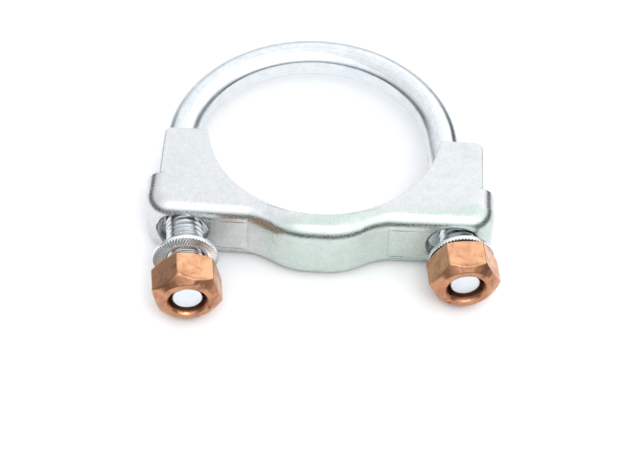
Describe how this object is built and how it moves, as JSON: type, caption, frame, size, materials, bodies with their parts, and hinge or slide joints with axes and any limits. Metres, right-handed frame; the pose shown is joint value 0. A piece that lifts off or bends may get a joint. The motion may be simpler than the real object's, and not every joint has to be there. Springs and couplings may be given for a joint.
{
  "type": "u-bolt pipe clamp",
  "caption": "U-bolt exhaust pipe clamp with a pressed steel saddle, toothed conical washers and copper-plated hex nuts.",
  "frame": {"origin": "pipe axis at the centre of the U-bolt's bend, at half the rod's height", "axes": "+Z along the pipe axis, up with the clamp lying flat; the U-bolt's legs run along -Y; +X to the right"},
  "size_m": [0.095, 0.0949, 0.02],
  "materials": {
    "zinc_steel_rod": "bright zinc plating on drawn steel",
    "zinc_steel_sheet": "bright zinc plating on pressed sheet steel",
    "zinc_steel_washer": "bright zinc plating",
    "copper_plated_steel": "copper plating on steel"
  },
  "bodies": {
    "u_bolt": {"u_bolt": "zinc_steel_rod"},
    "saddle": {"saddle": "zinc_steel_sheet"},
    "right_washer": {"right_washer": "zinc_steel_washer"},
    "right_nut": {"right_nut": "copper_plated_steel"},
    "left_washer": {"left_washer": "zinc_steel_washer"},
    "left_nut": {"left_nut": "copper_plated_steel"}
  },
  "joints": [
    {"name": "saddle_swing", "type": "hinge", "parent": "u_bolt", "child": "saddle", "pos_m": [0, -0.0256, 0], "axis": [0, 0, 1], "range_deg": [0, 7.5]},
    {"name": "right_washer_slide", "type": "slide", "parent": "u_bolt", "child": "right_washer", "axis": [0, 1, 0], "range_m": [0, 0.0074]},
    {"name": "right_nut_spin", "type": "hinge", "parent": "right_washer", "child": "right_nut", "pos_m": [0.037, -0.0479, 0], "axis": [0, 1, 0], "range_deg": [0, 1776]},
    {"name": "left_washer_slide", "type": "slide", "parent": "u_bolt", "child": "left_washer", "axis": [0, 1, 0], "range_m": [-0.00875, 0.0025]},
    {"name": "left_nut_spin", "type": "hinge", "parent": "left_washer", "child": "left_nut", "pos_m": [-0.037, -0.0474, 0], "axis": [0, 1, 0], "range_deg": [-2100, 600]}
  ],
  "couplings": [
    {"joint": "right_washer_slide", "follows": "right_nut_spin", "m_per_rad": 0.00023873},
    {"joint": "saddle_swing", "follows": "right_nut_spin", "ratio": 0.004223},
    {"joint": "left_washer_slide", "follows": "left_nut_spin", "m_per_rad": 0.00023873}
  ]
}
